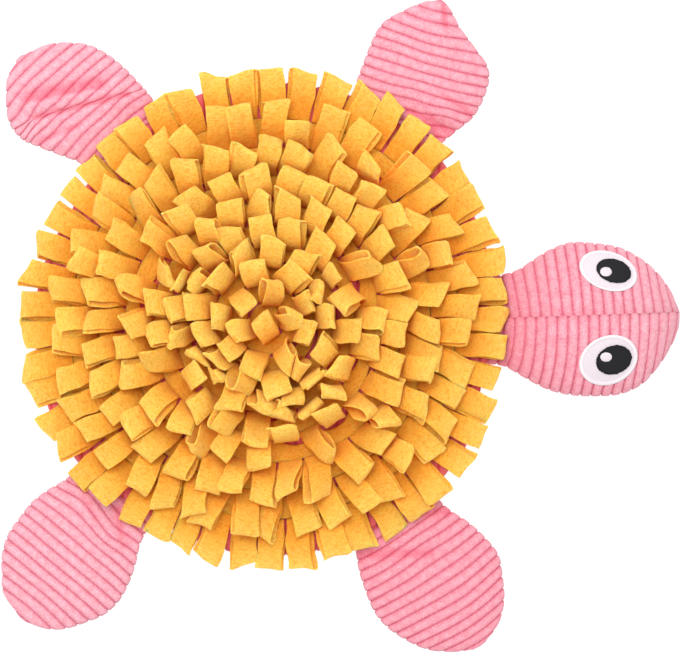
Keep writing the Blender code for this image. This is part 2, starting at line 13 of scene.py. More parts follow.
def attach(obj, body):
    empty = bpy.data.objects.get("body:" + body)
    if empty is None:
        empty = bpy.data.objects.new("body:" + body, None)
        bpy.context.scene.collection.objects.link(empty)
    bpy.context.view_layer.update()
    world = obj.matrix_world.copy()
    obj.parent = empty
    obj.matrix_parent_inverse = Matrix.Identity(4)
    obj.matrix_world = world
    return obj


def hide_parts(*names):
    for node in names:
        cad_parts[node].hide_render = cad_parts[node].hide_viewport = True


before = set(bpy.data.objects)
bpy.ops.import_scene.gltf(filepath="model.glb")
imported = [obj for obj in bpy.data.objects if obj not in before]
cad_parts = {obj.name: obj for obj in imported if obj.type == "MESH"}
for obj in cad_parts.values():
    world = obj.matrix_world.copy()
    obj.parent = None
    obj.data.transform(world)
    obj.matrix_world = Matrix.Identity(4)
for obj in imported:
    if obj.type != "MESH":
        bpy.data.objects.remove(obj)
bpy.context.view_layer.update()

MM = 0.001

# -------- the part's own driving sizes

WALE = 8.4 * MM  # pitch of the corduroy's wales
GAP = 0.3 * MM  # between two solids

BASE_RADIUS = 192 * MM
BASE_THICK = 7 * MM
# The sewn disc is a little out of round: mm added to its radius in each of these directions
OUT_OF_ROUND = (
    (0, -4), (25, 0), (55, 6), (90, 4), (120, -1), (148, -8), (175, -2),
    (215, 3), (243, -2), (272, 4), (305, 5), (326, 4), (345, -6), (360, -4),
)

LEG_THICK = 10 * MM
LEG_SEAM_HEIGHT = 3 * MM
LEG_ROOT_THICK = 6.5 * MM
LEG_FULL_FROM_ROOT = 40 * MM
LEG_FULL_FROM_TIP = 28 * MM
LEG_DOME = (2.6, 0.6)  # powers of the crown's curve: the first flattens it, the second rounds it
LEG_BOW_FROM = 4 * WALE
LEG_FOLD_FADE = 2 * MM

# Each leg: where its axis leaves the base's rim and which way it points, in degrees, and how far
# the wales bow over its width, in mm. Shade is painted shade: how much deeper its colour is painted
# than pile that lies towards the light, from 0 to 1. The rest have a row each, in mm. Sections:
# distance from the rim, reach to the left of the axis, reach to the right. Folds: from along and
# across to along and across, height, half width. Shifts: a place along and across, how far the
# wales are pushed along the leg there, and over what radius. Slips: from along and across to along
# and across, how far the wales to the left of that line have moved along the leg against those to
# its right, and over what width. Creases are folds too, finer than the solid's, and their troughs
# get painted shade.
LEGS = {
    "leg_back_left": {
        "rim_angle": 131, "axis": 135, "bow": 2, "shade": 0,
        "sections": (
            (-16, 30, 45), (8, 31, 50), (24, 38, 51), (40, 45, 51), (56, 51, 49),
            (72, 49, 43.5), (84, 41, 34), (94, 31, 23), (101, 22, 8), (103.5, 10, 0),
        ),
        "folds": (
            (30, -20, 46, 24, -2.2, 9), (62, -8, 76, -24, -1.6, 8), (34, -12, 60, 18, 1.2, 6),
            (22, -34, 40, -8, 1.2, 7), (56, 20, 60, 40, -1, 6),
        ),
        "shifts": (
            (78, 18, 2, 16), (20, -14, -1.5, 14), (36, 42, 4.5, 14), (68, 40, -4, 14),
            (34, 16, 2.5, 12), (56, 10, -2, 10),
        ),
        "slips": ((58, 28, 22, -34, -7, 3),),
        "creases": (
            (60, 30, 20, -37, -1.4, 3), (68, 28, 30, -36, 1.2, 4), (52, 30, 14, -34, 1, 4),
            (76, 21, 41, -26, -1.7, 7), (44, 40, 30, 10, -0.8, 3.5), (34, 34, 22, 4, 0.8, 3.5),
            (88, 30, 72, -6, 0.7, 6),
        ),
    },
    "leg_front_left": {
        "rim_angle": 56.5, "axis": 74, "bow": -3, "shade": 0.2,
        "sections": (
            (-16, 39, 32), (8, 40, 50), (24, 40, 61), (40, 39, 65), (56, 37.5, 65.5),
            (68, 36, 61), (80, 31.5, 46.5), (92, 20, 31), (102, 8, 21.5), (108, -4, 14),
        ),
        "folds": (
            (104, -12, 62, -22, 2.4, 8), (4, -46, 20, -6, -2.6, 8), (60, -24, 30, -40, 1.2, 7),
            (10, -20, 34, -52, 1.4, 6), (2, -30, 8, 10, -1.6, 6),
        ),
        "shifts": ((30, -10, 2, 18), (84, -8, -0.8, 14), (12, -40, 3, 14), (60, 10, 1.2, 16)),
        "slips": ((102, -6, 74, -30, 1.2, 6),),
        "creases": (
            (106, -12, 90, -18, -1.3, 2.4), (104, -3, 84, -8, 0.8, 3), (6, -52, 14, -8, -1.4, 2.6),
            (14, -52, 22, -20, 1.2, 3), (2, -36, 24, -24, -1, 2.6), (26, -58, 34, -34, -0.8, 3),
        ),
    },
    "leg_back_right": {
        "rim_angle": -130, "axis": -130, "bow": -2.5, "shade": 0,
        "sections": (
            (-16, 34, 36), (16, 40, 42), (32, 48, 47.5), (48, 54, 51), (64, 57, 50.5),
            (80, 55, 49), (96, 47, 42.5), (110, 38, 31), (119, 28, 23), (125, 14, 4),
        ),
        "folds": ((12, -30, 40, 20, 1.8, 9), (10, 20, 26, 34, -1.2, 7)),
        "shifts": ((22, 16, 4, 16), (20, -22, -3.5, 16), (70, 0, 1.5, 30)),
        "slips": (),
        "creases": ((6, -34, 30, 2, -0.9, 4), (8, 8, 26, 30, -0.8, 3.5), (16, -24, 40, 14, 0.8, 4.5)),
    },
    "leg_front_right": {
        "rim_angle": -55.4, "axis": -57, "bow": 3, "shade": 0.35,
        "sections": (
            (-16, 32, 40), (8, 33, 47), (24, 37, 54), (40, 44, 58.5), (60, 49, 62),
            (76, 50, 60), (92, 43.5, 53.5), (108, 35, 43.5), (120, 24, 29.5), (129, 4, 12),
        ),
        "folds": ((20, -40, 50, 10, -1.5, 10), (18, 10, 30, 30, -1, 8)),
        "shifts": ((34, 0, -2.5, 24), (86, 10, 2, 24)),
        "slips": (),
        "creases": ((14, -44, 44, 4, -0.8, 4), (10, 12, 24, 34, -0.8, 3.5)),
    },
}

# Head: a row for each section along +X, in mm.
# Columns: distance from the base's rim, reach to the left, reach to the right, thickness.
HEAD_SECTIONS = (
    (-14, 34, 37, 8), (4, 37, 39, 9), (16, 41, 45.5, 21), (28, 49, 52.5, 31), (42, 57.5, 59, 39),
    (58, 63, 62.5, 44), (76, 62.5, 63.5, 46), (98, 59, 62, 44), (116, 50, 54.5, 38),
    (130, 38.5, 40.5, 29), (140, 26, 26, 20), (147.5, 10, 10, 9),
)
HEAD_LENGTH = HEAD_SECTIONS[-1][0] * MM
HEAD_SEAM = (0.8 * MM, 5.8 * MM)  # the centre seam's place across, at the neck and at the nose
HEAD_SEAM_DIP = 2.2 * MM
HEAD_SEAM_SPREAD = 0.12
HEAD_SEAM_FADE = 8 * MM
HEAD_SIDE = 0.46
HEAD_DOME = (2.3, 0.5)
HEAD_FLAT = 0.55

# Eyes: a row each. Columns: centre X and Y, half length, half width, tilt in degrees, all in mm.
EYES = {
    "left": {"patch": (279.4, 39, 24.4, 16, -17), "pupil": (283.6, 39.1, 14.6, 9.7, -14),
             "glint": (277, 38.2, 4.8, 3.8, 0)},
    "right": {"patch": (279.4, -33.6, 24.7, 19.9, 22), "pupil": (283.6, -33.3, 15, 11.7, 18),
              "glint": (277, -31, 4.8, 3.8, 0)},
}
EYE_THICK = 0.8 * MM
EYE_LIFT = 0.55 * MM

FLEECE = 2.0 * MM
HEADING_WIDTH = 10 * MM
LOOP_LENGTH = 42 * MM
LOOP_WIDTH = 20 * MM
LOOP_FLARE = 0.1  # share by which cut fleece spreads wider from a loop's root to its fold
SLIT = 0.6 * MM
CHORD_SPARE = 0.985
LOOP_STEPS = 12
BEND_FROM = 0.15
BEND_TO = 0.8
SWING_BY = 0.4
# One row a ring, rim first. Angles in degrees: lean is the lowest rise of its loops, perk how
# much further some stand up, droop how far a loop bends over along its length, swing how far it
# turns sideways, and twist how far it turns about its own length. Inward is the share of loops
# that curl back over the middle of the mat, narrow the least share of the full loop width, and
# full how much fatter its loops are than the profile.
RING_COLUMNS = "radius loops lean perk droop swing twist inward narrow full".split()
RINGS = (
    (161.5 * MM, 49, 6, 6, 9, 7, 6, 0.0, 0.94, 1.0),
    (138.5 * MM, 43, 12, 14, 34, 18, 18, 0.0, 0.92, 1.0),
    (116.0 * MM, 36, 18, 20, 46, 28, 26, 0.0, 0.9, 1.0),
    (94.5 * MM, 29, 24, 22, 56, 34, 28, 0.1, 0.9, 1.0),
    (76.0 * MM, 23, 32, 20, 64, 40, 28, 0.1, 0.88, 1.0),
    (59.0 * MM, 18, 40, 18, 72, 46, 28, 0.15, 0.86, 1.0),
    (43.5 * MM, 13, 48, 16, 76, 50, 28, 0.25, 0.84, 1.0),
    (28.5 * MM, 9, 56, 14, 80, 56, 28, 0.3, 0.84, 1.0),
    (12.5 * MM, 5, 64, 12, 84, 60, 26, 0.4, 0.82, 1.0),
)
INWARD_LEAN = 74.0
LEAN_STEP = 3.0
LEAN_MOST = 104.0
CALMER = (1.0, 0.75, 0.5, 0.25, 0.0)
STIFFER = (
    (1.0, 1.0, 1.0), (0.7, 1.0, 1.0), (0.4, 0.94, 1.0), (0.2, 0.88, 1.0), (0.1, 0.78, 1.0),
    (0.4, 0.94, 0.7), (0.2, 0.88, 0.6), (0.1, 0.8, 0.5),
)
SEED = 63
FOLD_HALF = 2.7 * MM  # half of a loop's thickness at its fold
BELLY_HALF = 3.9 * MM  # and where it is fattest
BELLY_AT = 0.72  # share of its length

# -------- sizes of finer surfaces

WALE_DEPTH = 1.25 * MM  # of the groove between two wales
WALE_ROUND = 0.32  # share of that depth by which a crest rounds off towards its grooves
GROOVE_HALF = 0.75 * MM  # half width of the groove's dark bottom
# Stations over one wale, from groove to groove, as shares of its pitch
WALE_SHARES = (0.0, 0.05, 0.11, 0.2, 0.34, 0.5, 0.66, 0.8, 0.89, 0.95)
SCALLOP = 1.5 * MM  # how far a wale's end stands out past a groove's end
WOBBLE = 0.35 * MM  # how far a wale wanders from its line
WOBBLE_SPAN = 26 * MM
SEAM_ALLOWANCE = 3 * MM  # how far legs and head reach in between the base's two panels
SEAM_WAVE = 0.4 * MM
SEAM_GAP = 0.04 * MM  # between the two halves of the head, which are sewn together
WELD = 0.02 * MM  # corners this close are one
FLEECE_WELD = 0.01 * MM
SEAM_WELD = 0.5 * MM  # where a piece ends in the seam
SLIVER = 0.01 * MM  # shorter edges there are taken out
TIP_ROUND = 2.0 * MM  # length over which an outline closes past its last section
EDGE_TUCK = 1.6 * MM  # how far the back panel's edge lies inside the front's
LEG_COLUMNS = 46
HEAD_COLUMNS = 44
BASE_COLUMNS = 44
# Painted shade, with 1 the most off the base: in a crease trough 1 mm deep, near a leg's root and
# over what length, under the loops, and on the head away from its nose, at its neck and along its
# seam
CREASE_SHADE = 0.8
ROOT_SHADE = 0.5
ROOT_SHADE_SPAN = 14 * MM
UNDER_FLEECE_SHADE = 2.0
HEAD_SHADE = (0.25, 0.4, 0.35)
NOSE_FROM = 125 * MM  # distance from which the nose is left without painted shade, so that it looks lit
NOSE_SPAN = 60 * MM  # and over which it changes
NECK_SPAN = 22 * MM
SEAM_SHADE_SPREAD = 0.05  # share of the way to the side
SLIP_END = 0.3  # share of a slip's length over which it dies away past its ends
BASE_EDGE = 3 * MM  # width over which the base rounds off at its edge
BASE_SEAM_HEIGHT = 0.45  # share of its thickness
HEAD_TOP = 0.62  # share of a half's panel that lies on top
HEAD_CLOTH = 90 * MM  # cloth over and under half of the head
# For the left half (1) and the right (-1): how far back its wales are sewn on, how many mm further
# back they lie at the side than at the centre seam, and the power of the curve between
HEAD_SHIFT = {1: 0.0, -1: WALE / 2}
HEAD_BACK = {1: (6.0, 1.0), -1: (5.5, 2.5)}
HEAD_BACK_MOST = 6 * MM
EYE_STEPS = 96  # round an oval
EYE_WELD = 1e-5  # share of an oval's radius
EYE_SAG = 0.4  # share of EYE_LIFT by which each layer of an eye stands off the one below

CLOTH = 1.6 * MM  # thickness of one layer of fleece
STEM_HALF = 2.0 * MM  # half of a loop's thickness where its two layers lie on each other
STEM_TO = 0.26  # share of its length
STEM_STEPS = 6
FOLD_ANGLES = (0, 25, 48, 66, 80, 90)  # degrees round half a fold
STRIP_ACROSS = (-1, -0.9, -0.45, 0, 0.45, 0.9, 1)  # close together at the cut edges
CRUMPLE = 2.1 * MM  # how far soft dents push the fleece
CRUMPLE_SPAN = 12 * MM
RUMPLE = 0.5 * MM  # and smaller ones
RUMPLE_SPAN = 4.5 * MM
HEADING_LEAST = 40  # fewest steps round a heading
HEADING_PAST = 0.4 * MM  # past the loops' roots
STITCHES_AT = 0.8  # share of a heading's width, from its inner edge
STITCHES_SPREAD = 0.12
STITCHES_DIP = 0.5 * MM
HEADING_SHADE_AT = 0.3  # share of a loop's length whose painted shade, a deep orange, the headings take
HEADING_SHADE_ACROSS = 0.24  # and how much more at their outer edge
TURN_MOST = 48.0  # degrees, for the loops that turn their side up
TURN_LEAST = 8.0  # and for the others
TURN_SHARE = 0.3  # of the loops turn their side up
TURN_FROM = (6, 18)  # the ring's lean where that turn starts, and how much more to all of it
FREE_FROM = (0.1, 0.35)  # share of a loop's length where it comes free, and over what share
REACH_MOST = 1.06  # share of a loop's length that its fold may reach
FOUND_WITHIN = 0.03 * MM  # of the solid's corner
LOOKS_SEED = 5


def clamp(share):
    return min(max(share, 0.0), 1.0)


def smooth(share):
    """A soft step from 0 to 1."""
    share = clamp(share)
    return share * share * (3 - 2 * share)


def mix(low, high, share):
    return low + (high - low) * share


def toward(angle):
    """A level direction."""
    return Vector((math.cos(angle), math.sin(angle), 0))


# -------- materials


def hexa(text):
    """An sRGB hex colour as linear red, green, blue and alpha."""
    values = [int(text[i:i + 2], 16) / 255 for i in (1, 3, 5)]
    return (*(v / 12.92 if v <= 0.04045 else ((v + 0.055) / 1.055) ** 2.4 for v in values), 1.0)


# Settings of a node that multiplies one colour by another
MULTIPLY = {"data_type": "RGBA", "blend_type": "MULTIPLY"}


def set_inputs(node, inputs):
    """Gives a node's inputs each a value or another node's output."""
    for name, value in inputs.items():
        if isinstance(value, bpy.types.NodeSocket):
            node.id_data.links.new(value, node.inputs[name])
        else:
            node.inputs[name].default_value = value


def add_node(tree, kind, inputs, stops=(), **settings):
    """Adds a node with its settings and links, and if it is a ramp its places and colours."""
    made = tree.nodes.new("ShaderNode" + kind)
    for name, value in settings.items():
        setattr(made, name, value)
    set_inputs(made, inputs)
    if stops:
        elements = made.color_ramp.elements
        while len(elements) < len(stops):
            elements.new(0.5)
        for element, (place, colour) in zip(elements, stops):
            element.position = place
            element.color = hexa(colour)
    return made


def start_material(name, inputs):
    """A material, its tree and its shader, whose inputs that are the same all over are set."""
    material = bpy.data.materials.new(name)
    material.use_nodes = True
    shader = material.node_tree.nodes["Principled BSDF"]
    set_inputs(shader, inputs)
    return material, material.node_tree, shader


def start_cloth(name, roughness, sheen, tint, sheen_roughness):
    return start_material(name, {
        "Roughness": roughness, "Specular IOR Level": 0.2, "Sheen Weight": sheen,
        "Sheen Tint": hexa(tint), "Sheen Roughness": sheen_roughness,
    })


def jumbo_corduroy():
    """Cotton-blend jumbo corduroy, cut pile brushed up on each wale: matt, a pale bloom where the
    pile is seen side on, and a deeper rose down the flanks and at the bottom of the grooves, partly
    where the pile ends and partly painted shade. Its wales map counts wales as U and the same length
    across the cloth as V. Its second map has half of how much painted shade a place gets as U."""
    material, tree, shader = start_cloth("corduroy_cut_pile_pink", 0.92, 0.2, "#FFE3EA", 0.45)
    place = add_node(tree, "UVMap", {}, uv_map="wales").outputs["UV"]
    split = add_node(tree, "SeparateXYZ", {"Vector": place})
    share = add_node(tree, "Math", {0: split.outputs["X"]}, operation="FRACT")
    middle = add_node(tree, "Math", {0: share.outputs[0], 1: 0.5}, operation="SUBTRACT")
    away = add_node(tree, "Math", {0: middle.outputs[0]}, operation="ABSOLUTE")
    # The pile's edge along a groove is ragged, by tufts 2 mm long
    ragged = add_node(tree, "TexNoise", {
        "Vector": place, "Scale": WALE / (2 * MM), "Detail": 2.0, "Roughness": 0.6,
    })
    edge = add_node(tree, "Math", {0: ragged.outputs["Fac"], 1: 0.14, 2: -0.07},
                    operation="MULTIPLY_ADD")
    from_crest = add_node(tree, "Math", {0: away.outputs[0], 1: edge.outputs[0]}, operation="ADD")
    # Wale tone with painted shade: pale on the crest, a deeper rose down the flanks and into the
    # groove, partly where the pile ends and partly painted shade
    pile = add_node(tree, "ValToRGB", {"Fac": from_crest.outputs[0]}, stops=(
        (0.0, "#EBB9C1"), (0.24, "#EAB1BB"), (0.38, "#E5A3AF"), (0.46, "#DB8B9B"),
        (0.5, "#CF768A"),
    ))
    # Brushed patches, about 5 mm across
    patch = add_node(tree, "TexNoise", {
        "Vector": place, "Scale": WALE / (5 * MM), "Detail": 4.0, "Roughness": 0.65,
    })
    patch_tone = add_node(tree, "ValToRGB", {"Fac": patch.outputs["Fac"]}, stops=(
        (0.32, "#F5D8DF"), (0.62, "#FFFFFF"),
    ))
    # Tufts of pile, 0.5 mm in the cloth and drawn 1.1 mm across so that they show
    tuft = add_node(tree, "TexNoise", {
        "Vector": place, "Scale": WALE / (1.1 * MM), "Detail": 4.0, "Roughness": 0.7,
    })
    tuft_tone = add_node(tree, "ValToRGB", {"Fac": tuft.outputs["Fac"]}, stops=(
        (0.28, "#C58FA2"), (0.38, "#EDCFD8"), (0.58, "#FFFFFF"),
    ))
    # Painted shade, read from the second map: a deeper rose in crease troughs, near the legs' roots,
    # away from the head's nose and at its neck, darker along the head's seam, and on whole legs whose
    # pile lies away from the light; under the fleece the base gets a deeper and warmer tone, painted
    # shade with painted light bounced off the yellow loops
    # The second UV map carries the painted shade
    shade_uv = add_node(tree, "UVMap", {}, uv_map="pressed").outputs["UV"]
    pressed = add_node(tree, "SeparateXYZ", {"Vector": shade_uv})
    shade_tone = add_node(tree, "ValToRGB", {"Fac": pressed.outputs["X"]}, stops=(
        (0.0, "#FFFFFF"), (0.5, "#FBC8D2"), (1.0, "#FFA69E"),
    ))
    dyed = pile.outputs["Color"]
    for tone in (patch_tone, tuft_tone, shade_tone):
        dyed = add_node(tree, "Mix", {
            0: 1.0, 6: dyed, 7: tone.outputs["Color"],
        }, **MULTIPLY).outputs[2]
    bump = add_node(tree, "Bump", {
        "Height": tuft.outputs["Fac"], "Strength": 0.7, "Distance": 0.6 * MM,
    })
    set_inputs(shader, {"Base Color": dyed, "Normal": bump.outputs["Normal"]})
    return material


def polar_fleece():
    """Knitted polyester fleece, brushed and sheared on both faces: a dull, pebbled pile that glows
    where light passes through its fibres. Its UV map has the share of a loop's length from root to
    fold as U, and the colour is painted a deeper orange towards the roots: painted shade and painted
    light bounced off the yellow pile, deep between the loops. V counts strip widths, from a place of
    its own for each strip."""
    material, tree, shader = start_cloth("fleece_brushed_yellow", 0.95, 0.12, "#FFD48C", 0.5)
    set_inputs(shader, {
        "Subsurface Weight": 0.8, "Subsurface Radius": (1.0, 0.5, 0.15),
        "Subsurface Scale": 6 * MM,
    })
    place = add_node(tree, "TexCoord", {}).outputs["Object"]
    strip = add_node(tree, "UVMap", {}, uv_map="strip").outputs["UV"]
    split = add_node(tree, "SeparateXYZ", {"Vector": strip})
    # Painted shade and painted bounced light: a deeper orange towards the loops' roots, deep between
    # them
    depth_shade = add_node(tree, "ValToRGB", {"Fac": split.outputs["X"]}, stops=(
        (0.0, "#FFD08C"), (0.4, "#FFDDA8"), (0.75, "#FFF4E2"), (0.95, "#FFFFFF"),
    ))
    # Pills of pile, 1.6 mm across
    pill = add_node(tree, "TexNoise", {
        "Vector": place, "Scale": 1 / (1.6 * MM), "Detail": 3.0, "Roughness": 0.6,
    })
    shade = add_node(tree, "ValToRGB", {"Fac": pill.outputs["Fac"]}, stops=(
        (0.3, "#FDB146"), (0.46, "#FFC056"), (0.64, "#FFCE70"),
    ))
    # Slow change of tone over the cloth, about 30 mm
    cloud = add_node(tree, "TexNoise", {
        "Vector": place, "Scale": 1 / (30 * MM), "Detail": 2.0, "Roughness": 0.5,
    })
    cloud_tone = add_node(tree, "ValToRGB", {"Fac": cloud.outputs["Fac"]}, stops=(
        (0.3, "#F3EEE6"), (0.7, "#FFFFFF"),
    ))
    # Creases of the nap across the strip, 1.5 mm apart and about 5 mm long
    spread = add_node(tree, "Mapping", {"Vector": strip, "Scale": (
        LOOP_LENGTH / (1.5 * MM), LOOP_WIDTH / (5 * MM), 1.0,
    )})
    nap = add_node(tree, "TexNoise", {
        "Vector": spread.outputs["Vector"], "Scale": 1.0, "Detail": 3.0, "Roughness": 0.6,
    })
    nap_tone = add_node(tree, "ValToRGB", {"Fac": nap.outputs["Fac"]}, stops=(
        (0.32, "#F3DFBE"), (0.52, "#FFFFFF"),
    ))
    dyed = shade.outputs["Color"]
    for tone in (cloud_tone, nap_tone, depth_shade):
        dyed = add_node(tree, "Mix", {
            0: 1.0, 6: dyed, 7: tone.outputs["Color"],
        }, **MULTIPLY).outputs[2]
    fine = add_node(tree, "TexNoise", {
        "Vector": place, "Scale": 1 / (0.7 * MM), "Detail": 2.0, "Roughness": 0.6,
    })
    relief = pill.outputs["Fac"]
    for pattern in (fine, nap):
        relief = add_node(tree, "Math", {0: relief, 1: pattern.outputs["Fac"]},
                          operation="ADD").outputs[0]
    bump = add_node(tree, "Bump", {
        "Height": relief, "Strength": 0.7, "Distance": 0.7 * MM,
    })
    set_inputs(shader, {"Base Color": dyed, "Normal": bump.outputs["Normal"]})
    return material


def embroidery(name, colour, inner, sheen):
    """Dense satin stitch in rayon thread, with a soft gloss, round a field of flatter stitches.
    Threads are 0.4 mm and drawn 0.8 mm wide so that they show. The UV map has the share of the
    radius as U and the length round the oval in metres as V."""
    material, tree, shader = start_cloth(name, 0.6, sheen, "#FFFFFF", 0.4)
    place = add_node(tree, "UVMap", {}, uv_map="threads").outputs["UV"]
    split = add_node(tree, "SeparateXYZ", {"Vector": place})
    around = add_node(tree, "Math", {0: split.outputs["Y"], 1: math.tau / (0.8 * MM)},
                      operation="MULTIPLY")
    thread = add_node(tree, "Math", {0: around.outputs[0]}, operation="SINE")
    rim = add_node(tree, "MapRange", {
        "Value": split.outputs["X"], "From Min": 0.86, "From Max": 0.9,
    })
    ridge = add_node(tree, "Math", {0: thread.outputs[0], 1: rim.outputs[0]},
                     operation="MULTIPLY")
    field = add_node(tree, "TexCoord", {}).outputs["Object"]
    weave = add_node(tree, "TexNoise", {
        "Vector": field, "Scale": 1 / (0.9 * MM), "Detail": 2.0, "Roughness": 0.6,
    })
    tone = add_node(tree, "ValToRGB", {"Fac": rim.outputs[0]}, stops=(
        (0.0, inner), (1.0, colour),
    ))
    speck = add_node(tree, "ValToRGB", {"Fac": weave.outputs["Fac"]}, stops=(
        (0.35, "#F1F1F1"), (0.6, "#FFFFFF"),
    ))
    mottled = add_node(tree, "Mix", {
        0: 1.0, 6: tone.outputs["Color"], 7: speck.outputs["Color"],
    }, **MULTIPLY)
    height = add_node(tree, "Math", {0: ridge.outputs[0], 1: weave.outputs["Fac"]},
                      operation="ADD")
    bump = add_node(tree, "Bump", {
        "Height": height.outputs[0], "Strength": 0.25, "Distance": 0.12 * MM,
    })
    set_inputs(shader, {"Base Color": mottled.outputs[2], "Normal": bump.outputs["Normal"]})
    return material


# -------- building pieces in place of the CAD parts


def add_object(name, data):
    made = bpy.data.objects.new(name, data)
    bpy.context.scene.collection.objects.link(made)
    return made


def add_mesh(name, builder, material):
    mesh = bpy.data.meshes.new(name)
    builder.to_mesh(mesh)
    builder.free()
    mesh.shade_smooth()
    mesh.materials.append(material)
    return add_object(name, mesh)


def finish_piece(name, builder, material, node, weld=0.0, sewn_in=False):
    """Turns a bmesh into a piece that stands for a CAD node."""
    if weld:
        bmesh.ops.remove_doubles(builder, verts=builder.verts, dist=weld)
    bmesh.ops.recalc_face_normals(builder, faces=builder.faces)
    if sewn_in:
        end_in_seam(builder)
    piece = add_mesh(name, builder, material)
    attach(piece, "root")
    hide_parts(node)
    return piece


def grid(builder, rows, columns):
    """A flat grid of faces. Gives its vertices with their shares from 0 to 1, along and across."""
    made = bmesh.ops.create_grid(builder, x_segments=rows, y_segments=columns, size=0.5)
    return [(vert, vert.co.x + 0.5, vert.co.y + 0.5) for vert in made["verts"]]


# -------- corduroy


def uneven(radius, angle):
    """A radius of the mat in this direction, in radians, as far out of round as the disc is."""
    degrees = math.degrees(angle) % 360
    added = 0.0
    for (low, before), (high, after) in zip(OUT_OF_ROUND, OUT_OF_ROUND[1:]):
        if low <= degrees <= high:
            added = before + (after - before) * smooth((degrees - low) / (high - low))
    return radius * (1 + added * MM / BASE_RADIUS)


def table_value(rows, column, distance):
    """A column of a table of sections at this distance, read as a smooth curve of squares."""
    places = [row[0] for row in rows]
    squares = [row[column] * abs(row[column]) for row in rows]
    distance = min(max(distance, places[0]), places[-1])
    last = len(rows) - 1
    i = next(k for k in range(last) if distance <= places[k + 1])
    before = squares[max(i - 1, 0)]
    after = squares[min(i + 2, last)]
    step = places[i + 1] - places[i]
    share = (distance - places[i]) / step
    low_slope = (squares[i + 1] - before) / (places[i + 1] - places[max(i - 1, 0)])
    high_slope = (after - squares[i]) / (places[min(i + 2, last)] - places[i])
    square = (
        (2 * share**3 - 3 * share**2 + 1) * squares[i]
        + (share**3 - 2 * share**2 + share) * step * low_slope
        + (3 * share**2 - 2 * share**3) * squares[i + 1]
        + (share**3 - share**2) * step * high_slope
    )
    return math.copysign(math.sqrt(abs(square)), square)


def wale_stations(first, last):
    """Distances from first to last, close together at each groove. Grooves lie at whole wales."""
    wales = range(math.floor(first / WALE), math.ceil(last / WALE))
    stations = [(wale + share) * WALE for wale in wales for share in WALE_SHARES]
    return [first, *(place for place in stations if first <= place <= last), last]


def wale_relief(distance):
    """How far the pile's top lies under the crest, and 1 at the groove's bottom to 0 off it."""
    share = (distance / WALE) % 1.0
    from_groove = min(share, 1 - share) * WALE
    groove = math.exp(-((from_groove / GROOVE_HALF) ** 2))
    rounding = abs(2 * share - 1) ** 3
    return WALE_DEPTH * mix(groove, rounding, WALE_ROUND), max(groove, 0.35 * rounding)


def wobble(x, y):
    """The small wandering of a wale from its straight line."""
    return WOBBLE * noise.noise(Vector((x, y, 0)) / WOBBLE_SPAN)


def bump_field(rows, along, across):
    """Sum of soft bumps at a place, each row a place, a size and a radius, all in mm."""
    total = 0.0
    for x, y, size, radius in rows:
        total += size * math.exp(-((along - x) ** 2 + (across - y) ** 2) / radius**2)
    return total


def slip_field(rows, along, across):
    """How far wales have slipped at a place where the cloth is creased, all in mm."""
    total = 0.0
    for a0, c0, a1, c1, size, width in rows:
        run = Vector((a1 - a0, c1 - c0))
        place = Vector((along - a0, across - c0))
        share = place.dot(run) / run.length_squared
        off = (run.x * place.y - run.y * place.x) / run.length
        past = max(-share, share - 1, 0.0)
        total += size / 2 * math.tanh(off / width) * math.exp(-((past / SLIP_END) ** 2))
    return total


def fold_height(folds, along, across):
    """Height of the soft ridges and troughs at a place on a leg, all in mm."""
    height = 0.0
    for a0, c0, a1, c1, rise, half_width in folds:
        run = Vector((a1 - a0, c1 - c0))
        place = Vector((along - a0, across - c0))
        share = clamp(place.dot(run) / run.length_squared)
        away = (place - share * run).length
        height += rise * math.exp(-((away / half_width) ** 2))
    return height


def reaches(rows, distance):
    """An outline's reach to the left and right at this distance, closing round past the end."""
    end = rows[-1][0] * MM
    left = table_value(rows, 1, distance / MM) * MM
    right = table_value(rows, 2, distance / MM) * MM
    past = clamp((distance - end) / TIP_ROUND)
    middle = (left - right) / 2
    half = (left + right) / 2 * math.sqrt(1 - past**2)
    return middle + half, -middle + half


def corduroy_panel(builder, stations, columns, place_of, shift=0.0):
    """A panel of corduroy from a grid, with the two UV maps of jumbo_corduroy. Gives its vertices.

    place_of(distance, share) gives a point, how far across the cloth it is, and how much painted
    shade it gets, with share from -1 to 1 over the panel. Shift is how far its wales lie further
    back."""
    wales = builder.loops.layers.uv.new("wales")
    pressed = builder.loops.layers.uv.new("pressed")
    verts = grid(builder, len(stations) - 1, columns)
    counted = {}
    for vert, along, across in verts:
        distance = stations[round(along * (len(stations) - 1))]
        share = 2 * across - 1
        vert.co, travelled, shade_amount = place_of(distance, share)
        counted[vert] = (((distance + shift) / WALE, travelled / WALE), (shade_amount / 2, 0.5))
    for face in builder.faces:
        for loop in face.loops:
            loop[wales].uv, loop[pressed].uv = counted[loop.vert]
    return [vert for vert, _, _ in verts]


def end_in_seam(builder):
    """Ends a piece in the base's seam: what reaches further in is drawn out to the seam."""
    moved = []
    for vert in builder.verts:
        angle = math.atan2(vert.co.y, vert.co.x)
        seam = uneven(BASE_RADIUS, angle) - SEAM_ALLOWANCE
        if vert.co.to_2d().length < seam:
            vert.co = (seam * math.cos(angle), seam * math.sin(angle), vert.co.z)
            moved.append(vert)
    bmesh.ops.remove_doubles(builder, verts=moved, dist=SEAM_WELD)
    bmesh.ops.dissolve_degenerate(builder, edges=builder.edges, dist=SLIVER)


